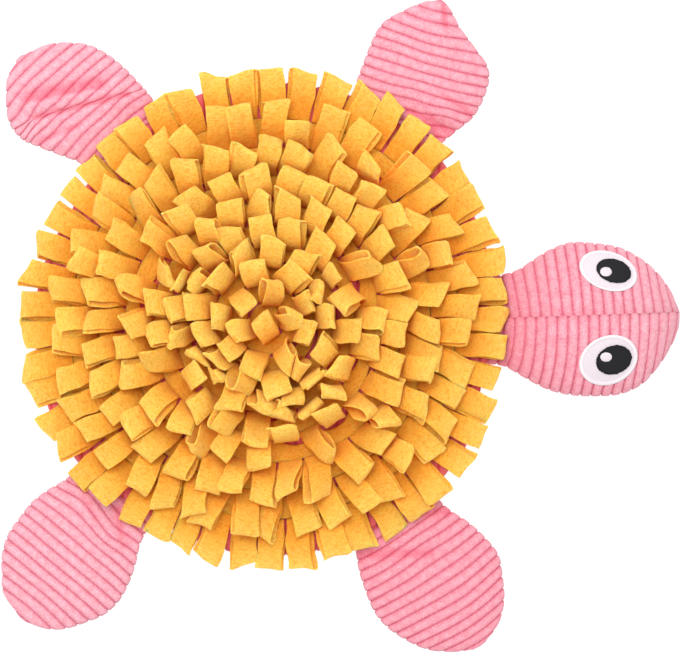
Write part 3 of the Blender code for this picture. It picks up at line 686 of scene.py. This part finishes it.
def leg_point(leg, distance, share):
    """A point of a leg's front panel, how far across the leg it is, and how much painted shade it
    gets."""
    rows = leg["sections"]
    rim = math.radians(leg["rim_angle"])
    axis = math.radians(leg["axis"])
    root = toward(rim) * BASE_RADIUS
    ahead = toward(axis)
    aside = Vector((-math.sin(axis), math.cos(axis), 0))
    left, right = reaches(rows, distance)
    across = (left - right) / 2 + (left + right) / 2 * share
    bow = leg["bow"] * MM * (1 - share**2) * min((left + right) / 2 / LEG_BOW_FROM, 1.0)
    pushed = bump_field(leg["shifts"], distance / MM, across / MM) * MM
    pushed += slip_field(leg["slips"], distance / MM, across / MM) * MM
    calm = smooth((rows[-1][0] * MM - distance) / LEG_FULL_FROM_TIP)
    along = distance + bow + (pushed + wobble(distance, across)) * calm
    relief, groove = wale_relief(distance)
    left, right = reaches(rows, along)
    across = (left - right) / 2 + ((left + right) / 2 - SCALLOP * groove) * share
    from_root = clamp(along / LEG_FULL_FROM_ROOT)
    from_tip = clamp((rows[-1][0] * MM + TIP_ROUND - along) / LEG_FULL_FROM_TIP)
    full = mix(LEG_ROOT_THICK, LEG_THICK, from_root)
    flatten, rounding = LEG_DOME
    dome = (full - LEG_SEAM_HEIGHT) * math.sqrt(from_tip)
    dome *= max(1 - abs(share) ** flatten, 0.0) ** rounding
    fine = fold_height(leg["creases"], along / MM, across / MM)
    crease = fold_height(leg["folds"], along / MM, across / MM) + fine
    crease *= MM * min(dome / LEG_FOLD_FADE, 1.0)
    point = root + ahead * along + aside * across
    point.z = LEG_SEAM_HEIGHT + max(dome + crease, 0.0) - relief * mix(0.5, 1.0, min(dome / MM, 1))
    # Painted shade: the leg's own, deeper in the troughs of its creases and near its root under the
    # fleece
    near_root = math.exp(-max(along, 0.0) / ROOT_SHADE_SPAN)
    pressed = leg["shade"] + max(-CREASE_SHADE * fine, 0.0) + ROOT_SHADE * near_root
    return point, across, min(pressed, 1.0)


def make_leg(name, leg, material):
    """A flipper: its front panel, and a flat back panel sewn to it all round."""
    rows = leg["sections"]
    builder = bmesh.new()
    stations = wale_stations(rows[0][0] * MM, rows[-1][0] * MM + TIP_ROUND)
    front = corduroy_panel(
        builder, stations, LEG_COLUMNS, lambda distance, share: leg_point(leg, distance, share)
    )
    close_back(builder, front)
    piece = finish_piece(
        name + "_pad", builder, material, name, WELD, sewn_in=True
    )


def close_back(builder, front):
    """Grows a flat back panel on the floor, its edge a little inside the front panel's."""
    middle = sum((vert.co for vert in front), Vector()) / len(front)
    grown = bmesh.ops.extrude_face_region(builder, geom=builder.faces[:])
    back = [item for item in grown["geom"] if isinstance(item, bmesh.types.BMVert)]
    for vert in back:
        inward = Vector((middle.x - vert.co.x, middle.y - vert.co.y, 0))
        vert.co += inward.normalized() * min(EDGE_TUCK, inward.length)
        vert.co.z = 0.0


def base_half_width(x, side):
    """How far the base reaches along Y at this X, on the left (side 1) or the right (-1)."""
    y = math.sqrt(max(BASE_RADIUS**2 - x**2, 0.0))
    for _ in range(8):  # enough to settle
        radius = uneven(BASE_RADIUS, math.atan2(side * y, x))
        y = math.sqrt(max(radius**2 - x**2, 0.0))
    return y


def base_point(distance, share):
    """A point of the base's top panel, how far across it is, and how much painted shade it gets:
    the most of all, as it lies under the fleece.
    """
    relief, groove = wale_relief(distance)
    side = 1 if share >= 0 else -1
    reach = base_half_width(distance, side)
    y = (reach - SCALLOP * groove * min(reach / WALE, 1.0)) * share
    from_edge = uneven(BASE_RADIUS, math.atan2(y, distance)) - math.hypot(distance, y)
    edge = math.sqrt(clamp(from_edge / BASE_EDGE))
    z = mix(BASE_SEAM_HEIGHT * BASE_THICK, BASE_THICK, edge) - relief * edge
    # Painted shade under the fleece, made warmer as painted light bounced off the yellow loops
    return Vector((distance, y, z)), y, UNDER_FLEECE_SHADE


def make_base(material):
    builder = bmesh.new()
    stations = wale_stations(-uneven(BASE_RADIUS, math.pi), uneven(BASE_RADIUS, 0.0))
    front = corduroy_panel(builder, stations, BASE_COLUMNS, base_point)
    close_back(builder, front)
    piece = finish_piece("base_panels", builder, material, "base", WELD)


def seam_at(distance):
    """Where the head's halves meet: each wale's end pushes into the groove across from it."""
    share = distance / HEAD_LENGTH
    pushed = SEAM_WAVE * math.cos(math.tau * distance / WALE)
    return mix(HEAD_SEAM[0], HEAD_SEAM[1], share) + pushed


def head_height(distance, share):
    """Height of the wales' crests at a share of the way from the seam to the side, and how thick
    the head is there."""
    thick = table_value(HEAD_SECTIONS, 3, distance / MM) * MM
    past = clamp((distance - HEAD_LENGTH) / TIP_ROUND)
    thick *= mix(1.0, 0.5, past)
    side = HEAD_SIDE * thick
    flatten, rounding = HEAD_DOME
    dome = (thick - side) * (1 - share**flatten) ** rounding
    pulled = math.exp(-((share / HEAD_SEAM_SPREAD) ** 2))
    dip = HEAD_SEAM_DIP * pulled * min(dome / HEAD_SEAM_FADE, 1.0)
    return side + max(dome - dip, 0.0), thick


def head_top_at(x, y):
    """Height of the wales' crests above this place."""
    distance = x - BASE_RADIUS
    seam = seam_at(distance)
    reach = reaches(HEAD_SECTIONS, distance)[0 if y > seam else 1]
    share = abs(y - seam) / abs(math.copysign(reach, y) - seam)
    return head_height(distance, min(share, 1.0))[0]


def head_point(side, distance, share):
    """A point of half of the head, how far across the cloth it is, and how much painted shade it
    gets.
    Share runs from -1 at the seam on top, over the side, to 1 at the seam underneath."""
    turned = (share + 1) / 2
    on_top = turned < HEAD_TOP
    if on_top:
        from_seam = 1 - (1 - turned / HEAD_TOP) ** 1.5
    else:
        from_seam = 1 - (turned - HEAD_TOP) / (1 - HEAD_TOP)
    most, power = HEAD_BACK[side]
    back = most * (from_seam**power if on_top else 1.0) * MM
    along = distance - back + wobble(distance, side * turned * HEAD_CLOTH)
    along = min(along, HEAD_LENGTH + TIP_ROUND)
    relief, groove = wale_relief(distance + HEAD_SHIFT[side])
    seam = seam_at(along) + side * SEAM_GAP / 2
    reach = reaches(HEAD_SECTIONS, along)[0 if side > 0 else 1]
    width = max(reach - SCALLOP * groove, 0.0) * side - seam
    if width * side < 0:
        width = 0.0
    top, thick = head_height(along, from_seam)
    if on_top:
        z = top - relief * min(0.25 + (top - HEAD_SIDE * thick) / (2 * MM), 1.0)
    else:
        rise = max(from_seam - HEAD_FLAT, 0.0) / (1 - HEAD_FLAT)
        z = HEAD_SIDE * thick * (1 - math.sqrt(max(1 - rise**2.2, 0.0)))
    point = Vector((BASE_RADIUS + along, seam + width * from_seam, max(z, 0.0)))
    # Painted shade: away from the nose, so that the nose looks lit, and at the neck by the fleece;
    # darker along the seam
    off_nose = smooth((NOSE_FROM - along) / NOSE_SPAN)
    at_neck = math.exp(-max(along - 4 * MM, 0.0) / NECK_SPAN)
    at_seam = math.exp(-((from_seam / SEAM_SHADE_SPREAD) ** 2))
    pressed = HEAD_SHADE[0] * off_nose + HEAD_SHADE[1] * at_neck + HEAD_SHADE[2] * at_seam
    return point, turned * HEAD_CLOTH, min(pressed, 1.0)


def make_head_half(name, side, material):
    """Half of the head, left (side 1) or right (-1), shut along the centre seam."""
    builder = bmesh.new()
    first = HEAD_SECTIONS[0][0] * MM
    last = HEAD_LENGTH + TIP_ROUND + HEAD_BACK_MOST
    shift = HEAD_SHIFT[side]
    stations = [place - shift for place in wale_stations(first + shift, last + shift)]
    corduroy_panel(
        builder, stations, HEAD_COLUMNS,
        lambda distance, share: head_point(side, distance, share), shift,
    )
    bmesh.ops.remove_doubles(builder, verts=builder.verts, dist=WELD)
    bmesh.ops.holes_fill(builder, edges=[edge for edge in builder.edges if edge.is_boundary])
    bmesh.ops.triangulate(builder, faces=[face for face in builder.faces if len(face.verts) > 4])
    piece = finish_piece(
        name + "_stuffed", builder, material, name, sewn_in=True
    )


# -------- eyes


def make_oval(name, row, lift, profile, jag, material, node):
    """A sewn oval that follows the head's crown: a profile from its middle to its edge, turned
    round and then laid on the head. Profile rows are a share of the radius and a height."""
    x0, y0, half_long, half_wide, tilt = row
    turn = math.radians(tilt)
    builder = bmesh.new()
    line = [builder.verts.new((share, 0, height)) for share, height in profile]
    edges = [builder.edges.new(pair) for pair in zip(line, line[1:])]
    bmesh.ops.spin(
        builder, geom=line + edges, cent=(0, 0, 0), axis=(0, 0, 1), angle=math.tau,
        steps=EYE_STEPS, use_merge=True, use_duplicate=False,
    )
    bmesh.ops.remove_doubles(builder, verts=builder.verts, dist=EYE_WELD)
    threads = builder.loops.layers.uv.new("threads")
    place = {}
    for vert in builder.verts:
        radius = vert.co.to_2d().length
        angle = math.atan2(vert.co.y, vert.co.x)
        tooth = 1 + jag * noise.noise(Vector((math.cos(angle), math.sin(angle), x0)) * 9) * radius
        place[vert] = (radius, angle)
        a = half_long * MM * vert.co.x * tooth
        b = half_wide * MM * vert.co.y * tooth
        x = x0 * MM + a * math.cos(turn) - b * math.sin(turn)
        y = y0 * MM + a * math.sin(turn) + b * math.cos(turn)
        vert.co = (x, y, head_top_at(x, y) + lift + vert.co.z)
    for face in builder.faces:
        for loop in face.loops:
            radius, angle = place[loop.vert]
            loop[threads].uv = (radius, angle * half_long * MM)
    return finish_piece(name, builder, material, node)


def make_eyes():
    white = embroidery("satin_stitch_white", "#E2DADD", "#D6CBD1", 0.1)
    black = embroidery("satin_stitch_black", "#0E0D10", "#18171A", 0.0)
    # Shares of the radius and heights, from the middle over the rim and back under
    patch = ((0.0, 0.5), (0.45, 0.5), (0.8, 0.48), (0.87, 0.4), (0.885, 0.75), (0.93, 0.95),
             (0.97, 0.8), (1.0, 0.25), (0.985, -0.3), (0.9, -0.35), (0.0, -0.35))
    pupil = ((0.0, 0.75), (0.5, 0.7), (0.8, 0.6), (0.84, 0.7), (0.94, 0.65), (1.0, 0.25),
             (0.98, -0.1), (0.0, -0.1))
    glint = ((0.0, 0.75), (0.5, 0.7), (0.85, 0.55), (1.0, 0.15), (0.95, -0.05), (0.0, -0.05))
    for side, rows in EYES.items():
        lift = EYE_LIFT
        layers = (
            ("patch", "eye", patch, 0.0, white, "eye_white"),
            ("pupil", "pupil", pupil, 0.04, black, "eye_black"),
            ("glint", "glint", glint, 0.06, white, "eye_white"),
        )
        for layer, node, profile, jag, material, slot in layers:
            name = f"{node}_{side}"
            heights = [(share, height * MM) for share, height in profile]
            piece = make_oval(
                name + "_stitched", rows[layer], lift, heights, jag, material, name
            )
            lift += EYE_THICK + EYE_LIFT * EYE_SAG


# -------- fleece loops


def loop_frames(loop):
    """Middle, side direction and upward direction along a loop, at each of its steps."""
    z = BASE_THICK + GAP + FLEECE
    out = toward(loop["azimuth"])
    middle = out * loop["radius"] + Vector((0, 0, z))
    frames = [(middle.copy(), Vector((-out.y, out.x, 0)), Vector((0, 0, 1)))]
    for step in range(LOOP_STEPS):
        share = (step + 0.5) / LOOP_STEPS
        rise = loop["rise"] - loop["droop"] * smooth((share - BEND_FROM) / (BEND_TO - BEND_FROM))
        heading = loop["azimuth"] + loop["swing"] * min(share / SWING_BY, 1.0)
        level = toward(heading)
        ahead = level * math.cos(rise) + Vector((0, 0, math.sin(rise)))
        middle = middle + ahead * (loop["length"] / LOOP_STEPS)
        side = Vector((-level.y, level.x, 0))
        up = ahead.cross(side)
        turn = loop["twist"] * (step + 1) / LOOP_STEPS
        turned_side = side * math.cos(turn) + up * math.sin(turn)
        frames.append((middle.copy(), turned_side, ahead.cross(turned_side)))
    return frames


def loop_point(loop, frames, share, offset, side):
    """A point of a loop, at a share of its length, off its middle layer, on its left or right."""
    step = min(int(share * LOOP_STEPS), LOOP_STEPS - 1)
    blend = share * LOOP_STEPS - step
    near, far = frames[step:step + 2]
    middle = near[0].lerp(far[0], blend)
    across = near[1].lerp(far[1], blend).normalized()
    up = near[2].lerp(far[2], blend).normalized()
    half = loop["width"] / 2 * (1 + LOOP_FLARE * share)
    return middle + across * (side * half) + up * offset


def find_loop(shape, row, wish, corners):
    """How a loop lies: the first of the ways that it may lie whose fold is where the solid's is.
    None where the solid has no loop, because it found no room."""
    turns = [calm * way for calm in CALMER for way in (1, -1)]
    tries = [(wish["inward"], turn, 1.0, 1.0, 1.0) for turn in turns]
    tries += [(False, turn, *stiffer) for stiffer in STIFFER for turn in turns]
    for inward, turn, bend, short, narrow in tries:
        first = max(row["lean"] + wish["perk"] * row["perk"], INWARD_LEAN * inward)
        for step in range(math.ceil((LEAN_MOST - first) / LEAN_STEP)):
            lean = first + step * LEAN_STEP
            droop = min(row["droop"], lean) * (-1 if inward else bend)
            loop = dict(
                shape,
                rise=math.radians(lean),
                droop=math.radians(droop),
                swing=math.radians(wish["swing"] * row["swing"] * turn),
                twist=math.radians(wish["twist"] * row["twist"] * turn),
                length=shape["length"] * short,
                width=shape["width"] * narrow,
            )
            frames = loop_frames(loop)
            half = FOLD_HALF * row["full"]
            ends = [loop_point(loop, frames, 1.0, half, side) for side in (1, -1)]
            if all(corners.find(end)[2] < FOUND_WITHIN for end in ends):
                return loop
    return None


def lay_out_loops():
    """All the loops, ring by ring from the rim, as they lie in the solids."""
    draw = random.Random(SEED)
    rings = []
    for number, values in enumerate(RINGS):
        row = dict(zip(RING_COLUMNS, values))
        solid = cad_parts[f"fringe_{number + 1}"].data
        corners = kdtree.KDTree(len(solid.vertices))
        for i, vert in enumerate(solid.vertices):
            corners.insert(vert.co, i)
        corners.balance()
        count = row["loops"]
        pitch = math.tau / count
        loops = []
        # Every other loop first, and then those that push up between them
        for i in [*range(0, count, 2), *range(1, count, 2)]:
            azimuth = pitch * (i + 0.5 * number)
            radius = uneven(row["radius"], azimuth)
            widest = 2 * radius * math.tan(pitch / 2) * CHORD_SPARE - SLIT
            wish = {
                "perk": draw.random() ** 2,
                "swing": draw.uniform(-1, 1),
                "twist": draw.uniform(-1, 1),
                "inward": draw.random() < row["inward"],
            }
            shape = {
                "azimuth": azimuth,
                "radius": radius,
                "length": LOOP_LENGTH * draw.uniform(0.94, 1.04),
                "width": min(LOOP_WIDTH, widest) * draw.uniform(row["narrow"], 1.0),
            }
            loop = find_loop(shape, row, wish, corners)
            if loop:
                loops.append(loop)
        loops.sort(key=lambda loop: loop["azimuth"])
        rings.append((row, loops))
    return rings


def strip_path(loop, row, look):
    """The middle of the fleece over half a loop, from its root to its fold: rows of a share of the
    loop's length, and a distance off its middle layer."""
    stem = STEM_HALF - CLOTH / 2
    belly = (BELLY_HALF * row["full"] - CLOTH / 2) * look["belly"]
    tip = 1 - CLOTH / 2 / loop["length"]
    path = []
    for step in range(STEM_STEPS):
        share = BELLY_AT * step / STEM_STEPS
        opening = smooth((share - STEM_TO) / (BELLY_AT - STEM_TO))
        path.append((share, mix(stem, belly, opening)))
    power = 2 / look["square"]
    for degrees in FOLD_ANGLES:
        angle = math.radians(degrees)
        share = mix(BELLY_AT, tip, max(math.sin(angle), 0.0) ** power)
        path.append((share, belly * max(math.cos(angle), 0.0) ** power))
    return path


def draw_look(draw):
    """How one loop's cloth differs from the rest, all of it small."""
    return {
        "belly": 0.75 + 0.9 * draw.random() ** 1.6,  # how far its two layers stand apart
        "square": draw.uniform(1.8, 3.2),  # how flat its fold is pressed
        "skew": draw.uniform(-0.6, 0.6),  # how much more one side is open than the other
        "cant": draw.uniform(-0.1, 0.1),  # how far aslant the fold runs
        "drift": draw.uniform(-1.8, 1.8) * MM,  # of the upper layer sideways
        "curl": draw.uniform(-1.2, 1.7) * MM,  # of the cut edges
        "phase": draw.uniform(0, 100),
        # How much further it turns about its own length: most a little, some so far that the
        # opening in the fold shows from above
        "turn": draw.choice((1, -1)) * (TURN_MOST if draw.random() < TURN_SHARE else TURN_LEAST),
    }


def add_strip(builder, loop, row, look):
    """One loop: a strip of fleece from the heading round its fold and back."""
    turned = math.radians(look["turn"] * smooth((row["lean"] - TURN_FROM[0]) / TURN_FROM[1]))
    frames = loop_frames(dict(loop, twist=loop["twist"] + turned))
    up_side = strip_path(loop, row, look)
    path = [(share, -off) for share, off in up_side] + up_side[-2::-1]
    strip = builder.loops.layers.uv.verify()
    for vert, along, across in grid(builder, len(path) - 1, len(STRIP_ACROSS) - 1):
        share, offset = path[round(along * (len(path) - 1))]
        side = STRIP_ACROSS[round(across * (len(STRIP_ACROSS) - 1))]
        free = smooth((share - FREE_FROM[0]) / FREE_FROM[1])
        opened = offset * (1 + look["skew"] * side * free)
        opened += look["curl"] * side**2 * free * (1 if offset > 0 else -0.4)
        shifted = side + look["drift"] / (loop["width"] / 2) * free * (1 if offset > 0 else -1)
        reach = share * (1 + look["cant"] * side * free)
        point = loop_point(loop, frames, min(reach, REACH_MOST), opened, shifted)
        place = point + Vector((look["phase"] * MM, 0, 0))
        dent = noise.noise_vector(place / CRUMPLE_SPAN) * CRUMPLE
        dent += noise.noise_vector(place / RUMPLE_SPAN) * RUMPLE
        vert.co = point + dent * free
        for corner in vert.link_loops:
            corner[strip].uv = (share, look["phase"] + side / 2)


def add_heading(builder, row, loops, reach):
    """The sewn-down band of a ring: two layers, dipped along the stitching that holds them, with
    an inner edge that was cut by hand."""
    count = max(len(loops) * 3, HEADING_LEAST)
    strip = builder.loops.layers.uv.verify()
    for level in (0.5, 1.5):
        for vert, along, across in grid(builder, 4, count):
            angle = across * math.tau
            ragged = 0.5 + 0.5 * math.sin(angle * 5 + row["radius"] * 400) * math.sin(angle * 11)
            inner = max(row["radius"] - mix(HEADING_WIDTH, reach, ragged), MM)
            share = mix(inner, row["radius"] + HEADING_PAST, along) / row["radius"]
            radius = uneven(row["radius"], angle) * share
            from_stitches = (along - STITCHES_AT) / STITCHES_SPREAD
            dip = STITCHES_DIP * math.exp(-(from_stitches**2)) * (level - 0.5)
            z = BASE_THICK + GAP + FLEECE * level - dip
            vert.co = (radius * math.cos(angle), radius * math.sin(angle), z)
            # Painted shade: the headings take the deeper orange painted near the loops' roots, a
            # little less towards their outer edge
            depth_shade = HEADING_SHADE_AT + HEADING_SHADE_ACROSS * along
            for corner in vert.link_loops:
                corner[strip].uv = (depth_shade, angle * row["radius"] / LOOP_WIDTH)


def make_fringe(number, row, loops, reach, draw, material):
    """A ring of fleece loops and its heading, from one band folded along its length."""
    builder = bmesh.new()
    builder.loops.layers.uv.new("strip")
    for loop in loops:
        add_strip(builder, loop, row, draw_look(draw))
    add_heading(builder, row, loops, reach)
    node = f"fringe_{number}"
    piece = finish_piece(node + "_fleece", builder, material, node, FLEECE_WELD)
    thick = piece.modifiers.new("cloth", "SOLIDIFY")
    thick.thickness = CLOTH
    thick.offset = 0.0
    soft = piece.modifiers.new("soft", "SUBSURF")
    soft.levels = soft.render_levels = 1


# -------- the scene


def set_camera():
    """Looks straight down on the mat, from above the middle of the picture."""
    picture_width = 0.56
    metres_per_pixel = picture_width / 680
    mat_centre = (265.5, 319.0)  # of the round base in the picture
    picture_centre = (340.0, 327.5)
    in_focus = 8 * MM  # height at which the scale holds
    data = bpy.data.cameras.new("camera")
    data.lens = 150
    data.sensor_width = 36
    camera = add_object("camera", data)
    height = picture_width / 2 * data.lens / (data.sensor_width / 2)
    camera.location = (
        (picture_centre[0] - mat_centre[0]) * metres_per_pixel,
        (mat_centre[1] - picture_centre[1]) * metres_per_pixel,
        height + in_focus,
    )
    bpy.context.scene.camera = camera


def set_stage():
    """A white light table in soft light from the upper left."""
    bpy.context.scene.view_settings.view_transform = "Standard"
    builder = bmesh.new()
    bmesh.ops.create_grid(builder, x_segments=1, y_segments=1, size=3.0)
    material, _, _ = start_material("floor_white", {
        "Base Color": hexa("#8C8C8C"), "Roughness": 0.9,
        "Emission Color": hexa("#FFFFFF"), "Emission Strength": 0.85,
    })
    floor = add_mesh("floor", builder, material)
    floor.location.z = -0.3 * MM  # just under the mat

    world = bpy.data.worlds.new("studio")
    world.use_nodes = True
    background = world.node_tree.nodes["Background"]
    set_inputs(background, {"Color": hexa("#FFFFFF"), "Strength": 0.94})
    bpy.context.scene.world = world
    data = bpy.data.lights.new("softbox", "AREA")
    data.size = 1.2
    data.energy = 29
    lamp = add_object("softbox", data)
    lamp.location = (-0.2, 0.6, 1.9)
    aim = Vector((0.05, 0, 0)) - lamp.location
    lamp.rotation_euler = aim.to_track_quat("-Z", "Y").to_euler()


def build():
    corduroy = jumbo_corduroy()
    fleece = polar_fleece()
    make_base(corduroy)
    for name, leg in LEGS.items():
        make_leg(name, leg, corduroy)
    make_head_half("head_left", 1, corduroy)
    make_head_half("head_right", -1, corduroy)
    make_eyes()
    draw = random.Random(LOOKS_SEED)
    noise.seed_set(LOOKS_SEED)  # or noise_vector would differ from run to run
    rings = lay_out_loops()
    for number, (row, loops) in enumerate(rings, 1):
        inner = rings[number][0]["radius"] if number < len(rings) else 0.0
        make_fringe(number, row, loops, row["radius"] - inner - MM, draw, fleece)


set_camera()
set_stage()
build()
